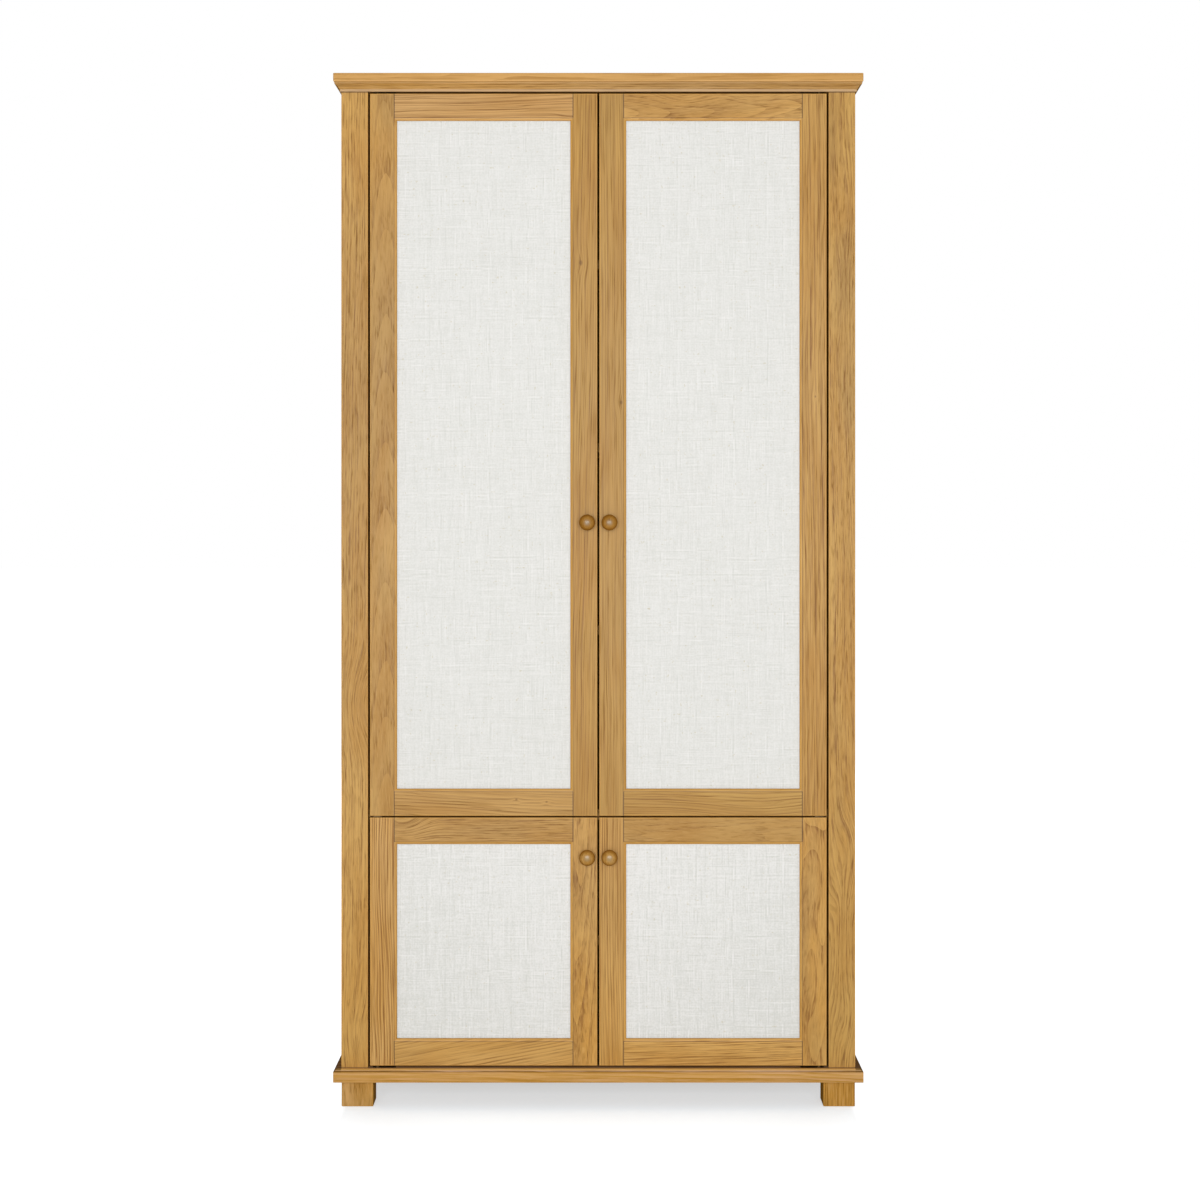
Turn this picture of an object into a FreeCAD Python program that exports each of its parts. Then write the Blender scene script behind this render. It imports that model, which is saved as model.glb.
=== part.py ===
import FreeCAD, Part
import os
import Sketcher

# A linen press in oak: two tall doors over two short ones, each a coped frame round a linen panel.
# X runs to the right, Y to the back and Z up; the origin is on the floor, in the middle of the plan.

SIZES = {
    # the case as a whole
    "overall_width": 1000,
    "overall_height": 1952.5,
    "top_depth": 500,
    "overhang": 14,
    "foot_height": 48.5,
    "foot_width": 60,
    "foot_inset": 0.5,
    "foot_ease": 2,
    # base board and top board
    "base_thickness": 24.7,
    "base_step": 3,
    "ovolo_height": 4.7,
    "ovolo_radius": 4,
    "top_thickness": 16,
    "board_ease": 1.5,
    # the cove under the top board
    "cove_height": 17.6,
    "cove_projection": 12,
    "cove_toe": 2.5,
    "cove_toe_height": 4.5,
    "cove_quirk": 0.5,
    "cove_lip_height": 3.5,
    "cove_drop": 8,
    # sides, face frame and back
    "side_thickness": 20,
    "face_width": 50.6,
    "top_rail_depth": 60,
    "edge_ease": 1,
    "end_ease": 0.8,
    "back_thickness": 6,
    "back_recess": 3,
    "back_rebate": 10,
    "back_margin": 0.5,
    # doors
    "door_thickness": 22,
    "hinge_gap": 3.4,
    "centre_gap": 3.4,
    "head_gap": 3,
    "sill_gap": 4.2,
    "lower_door_height": 469.6,
    "member_width": 51,
    "bead_width": 5.3,
    "bead_drop": 1,
    "bead_fall": 0.6,
    "bead_round": 1.8,
    "groove_setback": 6,
    "groove_width": 6.5,
    "groove_depth": 9,
    "joint_line": 0.5,
    "linen_thickness": 0.8,
    "panel_thickness": 5,
    "panel_play": 0.2,
    "panel_margin": 1,
    # pivots
    "pivot_inset": 14,
    "pivot_setback": 8,
    "pin_radius": 3,
    "pin_reach": 12,
    "pin_clearance": 0.05,
    "bush_radius": 4.5,
    "bush_length": 14,
    "bush_flange": 0.5,
    "bush_flange_radius": 5.5,
    "end_float": 0.1,
    "leaf_thickness": 1.6,
    "leaf_width": 16,
    "leaf_nose": 6,
    "plate_thickness": 2.5,
    "plate_width": 12,
    "plate_length": 44,
    "plate_heel": 9,
    "collar_radius": 5,
    "swing_clearance": 0.6,
    # screws and bolts
    "screw_radius": 1.75,
    "screw_head_radius": 3.4,
    "screw_head_height": 1.6,
    "screw_length": 15,
    "screw_pitch": 13,
    "pan_head_height": 2.2,
    "hole_clearance": 0.05,
    "bolt_radius": 4,
    "bolt_grip": 16,
    # shelves
    "mid_thickness": 20,
    "shelf_thickness": 18,
    "shelf_setback": 24,
    "shelf_play": 1,
    "peg_radius": 2.5,
    "peg_grip": 10,
    "peg_reach": 9,
    "peg_inset": 40,
    # knobs
    "knob_radius": 15,
    "knob_projection": 28,
    "knob_edge": 19.3,
    "upper_knob_rise": 555,
    "lower_knob_drop": 74,
    "knob_screw_radius": 2,
    "knob_screw_reach": 12,
    "knob_screw_head": 4,
    # catches
    "catch_width": 34,
    "catch_depth": 20,
    "catch_height": 12,
    "catch_inset": 30,
    "magnet_width": 22,
    "magnet_height": 6,
    "magnet_proud": 1,
    "strike_radius": 7,
    "strike_thickness": 1.2,
    "strike_gap": 0.3,
}

UPPER_SHELVES = 3
PEG_STEPS = 6
LOWER_PEG_HOLES = 3
SIDE_SCREWS = 6
SHELF_SCREWS = 3

# the turned knob: share of its radius, then share of its projection
KNOB_SHARES = {
    "foot": (0.6, 0.08),
    "neck": (0.43, 0.3),
    "widest": (1, 0.64),
    "brow": (0.81, 0.86),
}

PLACES = {
    "body_half": "Sizes.overall_width / 2 - Sizes.overhang",
    "inner_half": "body_half - Sizes.side_thickness",
    "opening_half": "body_half - Sizes.face_width",
    "body_depth": "Sizes.top_depth - Sizes.overhang",
    "face": "(Sizes.knob_projection - body_depth) / 2",
    "back": "face + body_depth",
    "brow": "face - Sizes.overhang",
    "door_back": "face + Sizes.door_thickness",
    "inside_back": "back - Sizes.back_recess - Sizes.back_thickness",
    "floor": "Sizes.foot_height + Sizes.base_thickness",
    "ceiling": "Sizes.overall_height - Sizes.top_thickness",
    "head": "ceiling - Sizes.cove_height",
    "lower_low": "floor + Sizes.sill_gap",
    "lower_high": "lower_low + Sizes.lower_door_height",
    "division_gap": "Sizes.leaf_thickness + 2 * (Sizes.bush_flange + Sizes.end_float)",
    "division": "lower_high + division_gap / 2",
    "upper_low": "lower_high + division_gap",
    "upper_high": "head - Sizes.head_gap",
    "door_outer": "Sizes.hinge_gap - opening_half",
    "door_inner": "-Sizes.centre_gap / 2",
    "panel_inset": "Sizes.member_width - Sizes.groove_depth + Sizes.panel_margin",
    "linen_front": "face + Sizes.groove_setback + Sizes.panel_play",
    "linen_back": "linen_front + Sizes.linen_thickness",
    "pivot_x": "door_outer + Sizes.pivot_inset",
    "pivot_y": "face + Sizes.pivot_setback",
    "swing": "sqrt(Sizes.pivot_inset ^ 2 + (Sizes.door_thickness - Sizes.pivot_setback) ^ 2)",
    "bracket_front": "pivot_y + swing + Sizes.swing_clearance",
    "mid_front": "bracket_front + Sizes.leaf_thickness",
    "mid_low": "division - Sizes.mid_thickness / 2",
    "mid_high": "division + Sizes.mid_thickness / 2",
    "shelf_front": "door_back + Sizes.shelf_setback",
    "shelf_half": "inner_half - Sizes.shelf_play",
    "shelf_back": "inside_back - Sizes.shelf_play",
    "upper_bay": f"(ceiling - mid_high - {UPPER_SHELVES} * Sizes.shelf_thickness) / {UPPER_SHELVES + 1}",
    "upper_step": "upper_bay + Sizes.shelf_thickness",
    "lower_bay": "(mid_low - floor - Sizes.shelf_thickness) / 2",
    "peg_pitch": f"upper_step / {PEG_STEPS}",
    "peg_drop": "Sizes.peg_radius + Sizes.hole_clearance",
    "peg_front": "shelf_front + Sizes.peg_inset",
    "peg_back": "shelf_back - Sizes.peg_inset",
    "knob_x": "door_inner - Sizes.knob_edge",
    "upper_knob": "upper_low + Sizes.upper_knob_rise",
    "lower_knob": "lower_high - Sizes.lower_knob_drop",
    "strike_x": "door_inner - Sizes.catch_inset",
    "strike_back": "door_back + Sizes.strike_thickness",
    "magnet_front": "strike_back + Sizes.strike_gap",
    "catch_front": "magnet_front + Sizes.magnet_proud",
    "foot_outer": "body_half - Sizes.foot_inset",
    "foot_front": "face + Sizes.foot_inset",
    "foot_back": "back - Sizes.foot_inset - Sizes.foot_width",
}

TOLERANCE = 0.001

doc = FreeCAD.newDocument("LinenPress")
nodes = []


def fill_sheet(name, cells, prefix):
    sheet = doc.addObject("Spreadsheet::Sheet", name)
    for row, (alias, entry) in enumerate(cells.items(), 1):
        sheet.set(f"A{row}", alias)
        sheet.set(f"B{row}", f"{prefix}{entry}")
        sheet.setAlias(f"B{row}", alias)
    doc.recompute()
    return sheet


sizes = fill_sheet("Sizes", SIZES, "")
places = fill_sheet("Places", PLACES, "=")


def value(formula):
    return float(places.evalExpression(formula))


def bind(item, **formulas):
    for name, formula in formulas.items():
        item.setExpression(name, formula)
    return item


TURNS = {
    "up": FreeCAD.Rotation(),
    "down": FreeCAD.Rotation(FreeCAD.Vector(1, 0, 0), 180),
    "back": FreeCAD.Rotation(FreeCAD.Vector(1, 0, 0), -90),
    "front": FreeCAD.Rotation(FreeCAD.Vector(1, 0, 0), 90),
    "left": FreeCAD.Rotation(FreeCAD.Vector(0, 1, 0), -90),
}


def place(item, at, way="up"):
    item.Placement = FreeCAD.Placement(FreeCAD.Vector(), TURNS[way])
    for axis, formula in zip("xyz", at):
        item.setExpression(f"Placement.Base.{axis}", formula)
    return item


def keep(label, item):
    item.Label = label
    nodes.append(item)
    return item


def box(name, at, extent):
    item = doc.addObject("Part::Box", name)
    bind(item, Length=extent[0], Width=extent[1], Height=extent[2])
    return place(item, at)


def rod(name, radius, length, at, way):
    item = doc.addObject("Part::Cylinder", name)
    bind(item, Radius=radius, Height=length)
    return place(item, at, way)


def mirror(name, source):
    item = doc.addObject("Part::Mirroring", name)
    item.Source = source
    item.Normal = FreeCAD.Vector(1, 0, 0)
    return item


def group(name, items):
    item = doc.addObject("Part::Compound", name)
    item.Links = items
    return item


def fuse(name, items):
    item = doc.addObject("Part::MultiFuse", name)
    item.Shapes = items
    return item


def cut(name, base, tools):
    item = doc.addObject("Part::Cut", name)
    item.Base = base
    item.Tool = tools[0] if len(tools) == 1 else group(f"{name}_tools", tools)
    return item


def origin_item(body, role):
    return next(item for item in body.Origin.OriginFeatures if item.Role == role)


def new_sketch(body, role, offset):
    sketch = body.newObject("Sketcher::SketchObject", "Outline")
    sketch.AttachmentSupport = [(origin_item(body, role), "")]
    sketch.MapMode = "FlatFace"
    sketch.setExpression("AttachmentOffset.Base.z", offset)
    return sketch


def fix_point(sketch, geometry, end, at):
    for kind, formula in zip(("DistanceX", "DistanceY"), at):
        if formula is None:
            continue
        rule = Sketcher.Constraint(kind, -1, 1, geometry, end, value(formula))
        index = sketch.addConstraint(rule)
        sketch.setExpression(f"Constraints[{index}]", formula)


def arc_centre(start, end, centre):
    # the centre lies level with, or plumb with, a given line and equally far from both ends
    level = centre[0] is None
    known = value(centre[1] if level else centre[0])
    a = (start.x, start.y) if level else (start.y, start.x)
    b = (end.x, end.y) if level else (end.y, end.x)
    rise = (b[1] - known) ** 2 - (a[1] - known) ** 2
    found = (b[0] ** 2 - a[0] ** 2 + rise) / (2 * (b[0] - a[0]))
    return FreeCAD.Vector(found, known, 0) if level else FreeCAD.Vector(known, found, 0)


def outline(body, role, offset, corners, arcs=None):
    # a closed run of lines, with an arc wherever a corner's number is given a centre
    arcs = arcs or {}
    sketch = new_sketch(body, role, offset)
    points = [FreeCAD.Vector(value(u), value(v), 0) for u, v in corners]
    ends = []
    for number, start in enumerate(points):
        end = points[(number + 1) % len(points)]
        order = (1, 2)
        curve = Part.LineSegment(start, end)
        if number in arcs:
            centre = arc_centre(start, end, arcs[number])
            circle = Part.Circle(centre, FreeCAD.Vector(0, 0, 1), (start - centre).Length)
            forward = (start - centre).cross(end - centre).z > 0
            order = (1, 2) if forward else (2, 1)
            first, last = (start, end) if forward else (end, start)
            curve = Part.ArcOfCircle(circle, circle.parameter(first), circle.parameter(last))
        sketch.addGeometry(curve)
        ends.append(order)
    for number in range(len(points)):
        following = (number + 1) % len(points)
        rule = Sketcher.Constraint("Coincident", number, ends[number][1], following, ends[following][0])
        sketch.addConstraint(rule)
    for number, corner in enumerate(corners):
        fix_point(sketch, number, ends[number][0], corner)
    for number, centre in arcs.items():
        fix_point(sketch, number, 3, centre)
    return sketch


def pad(body, sketch, length, reverse=False):
    feature = body.newObject("PartDesign::Pad", "Pad")
    feature.Profile = sketch
    feature.Reversed = reverse
    bind(feature, Length=length)
    sketch.Visibility = False
    doc.recompute()
    return feature


def pocket_all(body, sketch):
    feature = body.newObject("PartDesign::Pocket", "Pocket")
    feature.Profile = sketch
    feature.Type = "ThroughAll"
    feature.Midplane = True
    doc.recompute()
    return feature


def ease(body, radius, chosen):
    # round the edges whose middle passes the test
    last = body.Tip
    edges = []
    for number, edge in enumerate(last.Shape.Edges, 1):
        middle = edge.valueAt((edge.FirstParameter + edge.LastParameter) / 2)
        if chosen(middle):
            edges.append(f"Edge{number}")
    feature = body.newObject("PartDesign::Fillet", "Ease")
    feature.Base = (last, edges)
    bind(feature, Radius=radius)
    doc.recompute()
    return feature


def near(a, b):
    return abs(a - b) < TOLERANCE


def plank(name, at, extent):
    body = doc.addObject("PartDesign::Body", name)
    corners = [
        (at[0], at[1]),
        (f"{at[0]} + {extent[0]}", at[1]),
        (f"{at[0]} + {extent[0]}", f"{at[1]} + {extent[1]}"),
        (at[0], f"{at[1]} + {extent[1]}"),
    ]
    pad(body, outline(body, "XY_Plane", at[2], corners), extent[2])
    return body


def screw(name, at, way, spare):
    # a countersunk wood screw, or with some spare the hole for it
    head = doc.addObject("Part::Cone", f"{name}_head")
    bind(head, Radius1=f"Sizes.screw_head_radius + {spare}", Radius2=f"Sizes.screw_radius + {spare}")
    bind(head, Height="Sizes.screw_head_height")
    place(head, at, way)
    shank = rod(f"{name}_shank", f"Sizes.screw_radius + {spare}", f"Sizes.screw_length + {spare}", at, way)
    return fuse(name, [head, shank])


def both(name, item):
    return [item, mirror(f"{name}_mirrored", item)]


# base board: a slab with a step and an ovolo round its front and sides
def at_back(point):
    return near(point.y, value("Places.back"))


base = plank("base_blank", ("-Sizes.overall_width / 2", "Places.brow", "Sizes.foot_height"),
             ("Sizes.overall_width", "Sizes.top_depth", "Sizes.base_thickness - Sizes.ovolo_height"))
step_half = "(Sizes.overall_width / 2 - Sizes.base_step)"
step_corners = [
    (f"-{step_half}", "Places.brow + Sizes.base_step"),
    (step_half, "Places.brow + Sizes.base_step"),
    (step_half, "Places.back"),
    (f"-{step_half}", "Places.back"),
]
pad(base, outline(base, "XY_Plane", "Places.floor - Sizes.ovolo_height", step_corners), "Sizes.ovolo_height")
ease(base, "Sizes.ovolo_radius", lambda p: near(p.z, value("Places.floor")) and not at_back(p))
ease(base, "Sizes.edge_ease", lambda p: near(p.z, value("Sizes.foot_height")) and not at_back(p))

# top board, square edged with its corners just taken off
top = plank("top_blank", ("-Sizes.overall_width / 2", "Places.brow", "Places.ceiling"),
            ("Sizes.overall_width", "Sizes.top_depth", "Sizes.top_thickness"))
ease(top, "Sizes.board_ease", lambda p: not at_back(p))
keep("top_board", top)

# cove moulding: one length along the front and one along each side, mitred at the corners
COVE_SECTION = [
    ("0", "0"),
    ("Sizes.cove_toe", "0"),
    ("Sizes.cove_toe", "Sizes.cove_toe_height"),
    ("Sizes.cove_toe + Sizes.cove_quirk", "Sizes.cove_toe_height"),
    ("Sizes.cove_projection", "Sizes.cove_height - Sizes.cove_lip_height"),
    ("Sizes.cove_projection", "Sizes.cove_height"),
    ("0", "Sizes.cove_height"),
]
cove_arc = {3: (None, "Places.head + Sizes.cove_toe_height - Sizes.cove_drop")}
cove_half = "(Places.body_half + Sizes.cove_projection)"
cove_front_y = "(Places.face - Sizes.cove_projection)"
past = "Sizes.cove_height"

cove = doc.addObject("PartDesign::Body", "cornice_front_body")
corners = [(f"Places.face - ({out})", f"Places.head + {up}") for out, up in COVE_SECTION]
pad(cove, outline(cove, "YZ_Plane", f"-{cove_half}", corners, cove_arc), f"2 * {cove_half}")
for sign in ("-", ""):
    mitre = [
        (f"{sign}({cove_half} + {past})", f"{cove_front_y} - {past}"),
        (f"{sign}({cove_half} - 2 * {past})", f"{cove_front_y} + 2 * {past}"),
        (f"{sign}({cove_half} + {past})", f"{cove_front_y} + 2 * {past}"),
    ]
    pocket_all(cove, outline(cove, "XY_Plane", "0", mitre))
keep("cornice_front", cove)

cove = doc.addObject("PartDesign::Body", "cornice_left_body")
corners = [(f"-Places.body_half - ({out})", f"Places.head + {up}") for out, up in COVE_SECTION]
pad(cove, outline(cove, "XZ_Plane", "-Places.back", corners, cove_arc), f"Places.back - {cove_front_y}")
mitre = [
    (f"-({cove_half} + {past})", f"{cove_front_y} - {past}"),
    (f"-({cove_half} - 2 * {past})", f"{cove_front_y} + 2 * {past}"),
    (f"-({cove_half} - 2 * {past})", f"{cove_front_y} - {past}"),
]
pocket_all(cove, outline(cove, "XY_Plane", "0", mitre))
keep("cornice_left", cove)
keep("cornice_right", mirror("cornice_right", cove))

# feet, each held by a bolt let into the base board
bolts = []
bolt_holes = []
for end, front in (("front", "Places.foot_front"), ("back", "Places.foot_back")):
    blank = plank(f"{end}_foot_blank", ("-Places.foot_outer", front, "0"),
                  ("Sizes.foot_width", "Sizes.foot_width", "Sizes.foot_height"))
    ease(blank, "Sizes.foot_ease", lambda p: not near(p.z, value("Sizes.foot_height")))
    spot = ("-Places.foot_outer + Sizes.foot_width / 2", f"{front} + Sizes.foot_width / 2",
            "Sizes.foot_height - Sizes.bolt_grip")
    bolt = rod(f"{end}_bolt", "Sizes.bolt_radius", "2 * Sizes.bolt_grip", spot, "up")
    hole = rod(f"{end}_bolt_hole", "Sizes.bolt_radius + Sizes.hole_clearance",
               "2 * Sizes.bolt_grip", spot, "up")
    bolts += both(f"{end}_bolt", bolt)
    bolt_holes += both(f"{end}_bolt_hole", hole)
    foot = keep(f"{end}_left_foot", cut(f"{end}_left_foot", blank, [hole]))
    keep(f"{end}_right_foot", mirror(f"{end}_right_foot", foot))
keep("foot_bolts", group("foot_bolts", bolts))


def plate_screws(name, height, way):
    made = []
    holes = []
    for number in (1, 2):
        spot = (f"Places.pivot_x + {number} * Sizes.screw_pitch", "Places.pivot_y", height)
        made.append(screw(f"{name}_screw_{number}", spot, way, "0"))
        holes.append(screw(f"{name}_screw_hole_{number}", spot, way, "Sizes.hole_clearance"))
    return made, holes


def plate_box(name, low):
    return box(name, ("Places.pivot_x - Sizes.plate_heel", "Places.pivot_y - Sizes.plate_width / 2", low),
               ("Sizes.plate_length", "Sizes.plate_width", "Sizes.plate_thickness"))


def mirrored_all(items):
    return [copy for item in items for copy in both(item.Name, item)]


# bottom pivots: plates let into the base board, each with a collar and a pin standing up
plate = plate_box("bottom_plate", "Places.floor - Sizes.plate_thickness")
mortise = plate_box("bottom_mortise", "Places.floor - Sizes.plate_thickness")
collar = rod("bottom_collar", "Sizes.collar_radius",
             "Sizes.plate_thickness + Sizes.sill_gap - Sizes.bush_flange - Sizes.end_float",
             ("Places.pivot_x", "Places.pivot_y", "Places.floor - Sizes.plate_thickness"), "up")
pin = rod("bottom_pin", "Sizes.pin_radius", "Sizes.plate_thickness + Sizes.sill_gap + Sizes.pin_reach",
          ("Places.pivot_x", "Places.pivot_y", "Places.floor - Sizes.plate_thickness"), "up")
made, holes = plate_screws("bottom", "Places.floor", "down")
leaf = cut("bottom_leaf", fuse("bottom_leaf_blank", [plate, collar, pin]), holes)
keep("bottom_pivots", group("bottom_pivots", mirrored_all([leaf] + made)))
tools = bolt_holes + both("bottom_sinking", fuse("bottom_sinking", [mortise] + holes))
keep("base_board", cut("base_board", base, tools))

# top pivots: plates let into the rail over the doors, each with a pin hanging down
plate = plate_box("top_plate", "Places.head")
mortise = plate_box("top_mortise", "Places.head")
pin = rod("top_pin", "Sizes.pin_radius", "Sizes.plate_thickness + Sizes.head_gap + Sizes.pin_reach",
          ("Places.pivot_x", "Places.pivot_y", "Places.head + Sizes.plate_thickness"), "down")
made, holes = plate_screws("top", "Places.head", "up")
leaf = cut("top_leaf", fuse("top_leaf_blank", [plate, pin]), holes)
keep("top_pivots", group("top_pivots", mirrored_all([leaf] + made)))
rail = box("top_rail_blank", ("-Places.opening_half", "Places.face", "Places.head"),
           ("2 * Places.opening_half", "Sizes.top_rail_depth", "Sizes.cove_height"))
keep("face_top_rail", cut("face_top_rail", rail, both("top_sinking", fuse("top_sinking", [mortise] + holes))))

# middle pivots: angle brackets on the fixed shelf, whose leaf runs in the gap between the doors
bracket_left = "Places.pivot_x - Sizes.leaf_width / 2"
nose = "(Places.pivot_y - Sizes.leaf_nose)"
leaf = box("mid_leaf", (bracket_left, nose, "Places.division - Sizes.leaf_thickness / 2"),
           ("Sizes.leaf_width", f"Places.mid_front - {nose}", "Sizes.leaf_thickness"))
flange = box("mid_flange", (bracket_left, "Places.bracket_front", "Places.mid_low"),
             ("Sizes.leaf_width", "Sizes.leaf_thickness", "Sizes.mid_thickness"))
pin = rod("mid_pin", "Sizes.pin_radius", "Places.division_gap + 2 * Sizes.pin_reach",
          ("Places.pivot_x", "Places.pivot_y", "Places.lower_high - Sizes.pin_reach"), "up")
made = []
holes = []
for name, share in (("low", -1), ("high", 1)):
    spot = ("Places.pivot_x", "Places.bracket_front", f"Places.division + {share} * Sizes.mid_thickness / 4")
    made.append(screw(f"mid_screw_{name}", spot, "back", "0"))
    holes.append(screw(f"mid_screw_hole_{name}", spot, "back", "Sizes.hole_clearance"))
bracket = cut("mid_bracket", fuse("mid_bracket_blank", [leaf, flange, pin]), holes)
keep("mid_pivots", group("mid_pivots", mirrored_all([bracket] + made)))
mid_holes = mirrored_all(holes)

# back screws: pan heads down both sides and along the fixed shelf
screws = []
screw_holes = {"side": [], "shelf": []}


def back_screw(name, x, z, where):
    spot = (x, "Places.back - Sizes.back_recess", z)
    shank = rod(f"{name}_shank", "Sizes.screw_radius", "Sizes.screw_length", spot, "front")
    head_spot = (x, f"{spot[1]} + Sizes.pan_head_height", z)
    cap = rod(f"{name}_cap", "Sizes.screw_head_radius", "Sizes.pan_head_height", head_spot, "front")
    hole = rod(f"{name}_hole", "Sizes.screw_radius + Sizes.hole_clearance",
               "Sizes.screw_length + Sizes.hole_clearance", spot, "front")
    screw_holes[where].append(hole)
    return fuse(name, [shank, cap])


for number in range(SIDE_SCREWS):
    height = f"Places.floor + (Places.ceiling - Places.floor) * {number + 0.5} / {SIDE_SCREWS}"
    item = back_screw(f"side_screw_{number + 1}", "-(Places.inner_half + Sizes.back_rebate / 2)", height, "side")
    screws += both(item.Name, item)
for number in range(SHELF_SCREWS):
    across = f"Places.inner_half * {2 * number + 1 - SHELF_SCREWS} / {SHELF_SCREWS}"
    screws.append(back_screw(f"shelf_screw_{number + 1}", across, "Places.division", "shelf"))
keep("back_screws", group("back_screws", screws))

back_half = "(Places.inner_half + Sizes.back_rebate - Sizes.back_margin)"
blank = box("back_blank", (f"-{back_half}", "Places.inside_back", "Places.floor"),
            (f"2 * {back_half}", "Sizes.back_thickness", "Places.ceiling - Places.floor"))
keep("back_panel", cut("back_panel", blank, mirrored_all(screw_holes["side"]) + screw_holes["shelf"]))

# fixed shelf between the upper and lower doors
blank = plank("mid_blank", ("-Places.inner_half", "Places.mid_front", "Places.mid_low"),
              ("2 * Places.inner_half", "(Places.inside_back - Places.mid_front)", "Sizes.mid_thickness"))
keep("mid_shelf", cut("mid_shelf", blank, mid_holes + screw_holes["shelf"]))

# sides, with rows of peg holes and a rebate for the back
side = doc.addObject("PartDesign::Body", "side_body")
corners = [
    ("-Places.body_half", "Places.door_back"),
    ("-Places.inner_half", "Places.door_back"),
    ("-Places.inner_half", "Places.inside_back"),
    ("-Places.inner_half - Sizes.back_rebate", "Places.inside_back"),
    ("-Places.inner_half - Sizes.back_rebate", "Places.back"),
    ("-Places.body_half", "Places.back"),
]
pad(side, outline(side, "XY_Plane", "Places.floor", corners), "Places.ceiling - Places.floor")


def peg_rows(body, first, count):
    sketch = new_sketch(body, "YZ_Plane", "-Places.inner_half")
    for number, row in enumerate(("Places.peg_front", "Places.peg_back")):
        middle = FreeCAD.Vector(value(row), value(first), 0)
        sketch.addGeometry(Part.Circle(middle, FreeCAD.Vector(0, 0, 1), value("Places.peg_drop")))
        fix_point(sketch, number, 3, (row, first))
        index = sketch.addConstraint(Sketcher.Constraint("Radius", number, value("Places.peg_drop")))
        sketch.setExpression(f"Constraints[{index}]", "Places.peg_drop")
    feature = body.newObject("PartDesign::Pocket", "PegHoles")
    feature.Profile = sketch
    bind(feature, Length="Sizes.peg_grip")
    doc.recompute()
    pattern = body.newObject("PartDesign::LinearPattern", "PegRow")
    pattern.Originals = [feature]
    pattern.Direction = (origin_item(body, "Z_Axis"), [""])
    pattern.Occurrences = count
    bind(pattern, Length=f"{count - 1} * Places.peg_pitch")
    body.Tip = pattern
    doc.recompute()


upper_first = "Places.mid_high + Places.upper_bay - Places.peg_drop"
lower_first = "Places.floor + Places.lower_bay - Places.peg_drop"
peg_rows(side, upper_first, PEG_STEPS * (UPPER_SHELVES - 1) + 1)
peg_rows(side, f"{lower_first} - Places.peg_pitch", LOWER_PEG_HOLES)
left_side = keep("left_side_panel", cut("left_side_panel", side, screw_holes["side"]))
keep("right_side_panel", mirror("right_side_panel", left_side))

# face stiles on the front edges of the sides
stile = plank("face_stile_blank", ("-Places.body_half", "Places.face", "Places.floor"),
              ("Sizes.face_width", "Sizes.door_thickness", "Places.ceiling - Places.floor"))
ease(stile, "Sizes.edge_ease", lambda p: near(p.y, value("Places.face"))
     and near(abs(p.x + value("Places.body_half") - value("Sizes.face_width") / 2),
              value("Sizes.face_width") / 2))
keep("left_face_stile", stile)
keep("right_face_stile", mirror("right_face_stile", stile))

# loose shelves on pegs
pegs = []
shelf_lows = {}
for number, name in enumerate(("low", "middle", "high")):
    shelf_lows[f"upper_shelf_{name}"] = f"(Places.mid_high + Places.upper_bay + {number} * Places.upper_step)"
shelf_lows["lower_shelf"] = "(Places.floor + Places.lower_bay)"
for name, low in shelf_lows.items():
    shelf = plank(f"{name}_body", ("-Places.shelf_half", "Places.shelf_front", low),
                  ("2 * Places.shelf_half", "(Places.shelf_back - Places.shelf_front)", "Sizes.shelf_thickness"))
    ease(shelf, "Sizes.edge_ease", lambda p: near(p.y, value("Places.shelf_front")) and near(p.x, 0))
    keep(name, shelf)
    for row in ("front", "back"):
        spot = ("-Places.inner_half + Sizes.peg_reach", f"Places.peg_{row}", f"{low} - Places.peg_drop")
        peg = rod(f"{name}_peg_{row}", "Sizes.peg_radius",
                  "Sizes.peg_grip + Sizes.peg_reach - Sizes.hole_clearance", spot, "left")
        pegs += both(peg.Name, peg)
keep("shelf_pegs", group("shelf_pegs", pegs))

# magnetic catches above and below the fixed shelf
catches = []
for name, low in (("upper", "Places.mid_high"), ("lower", "Places.mid_low - Sizes.catch_height")):
    shell = box(f"{name}_catch", ("Places.strike_x - Sizes.catch_width / 2", "Places.catch_front", low),
                ("Sizes.catch_width", "Sizes.catch_depth", "Sizes.catch_height"))
    magnet = box(f"{name}_magnet", ("Places.strike_x - Sizes.magnet_width / 2", "Places.magnet_front",
                                    f"{low} + (Sizes.catch_height - Sizes.magnet_height) / 2"),
                 ("Sizes.magnet_width", "Sizes.magnet_proud", "Sizes.magnet_height"))
    catches += both(f"{name}_catch", fuse(f"{name}_catch_whole", [shell, magnet]))
keep("magnetic_catches", group("magnetic_catches", catches))

# one section for every door member: distance in from the outer edge, then depth from the front
FLAT = "(Sizes.member_width - Sizes.bead_width)"
BEAD_END = "(Sizes.member_width - Sizes.bead_round)"
BEAD_LOW = "(Sizes.bead_drop + Sizes.bead_fall)"
GROOVE_BACK = "(Sizes.groove_setback + Sizes.groove_width)"
INNER_SECTION = [
    (FLAT, "0"),
    (FLAT, "Sizes.bead_drop"),
    (BEAD_END, BEAD_LOW),
    ("Sizes.member_width", f"({BEAD_LOW} + Sizes.bead_round)"),
    ("Sizes.member_width", "Sizes.groove_setback"),
    ("(Sizes.member_width - Sizes.groove_depth)", "Sizes.groove_setback"),
    ("(Sizes.member_width - Sizes.groove_depth)", GROOVE_BACK),
    ("Sizes.member_width", GROOVE_BACK),
    ("Sizes.member_width", "Sizes.door_thickness"),
    ("0", "Sizes.door_thickness"),
]
EASED_SECTION = [("0", "Sizes.edge_ease"), ("Sizes.edge_ease", "0")] + INNER_SECTION
SHARP_SECTION = [("0", "0")] + INNER_SECTION


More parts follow.
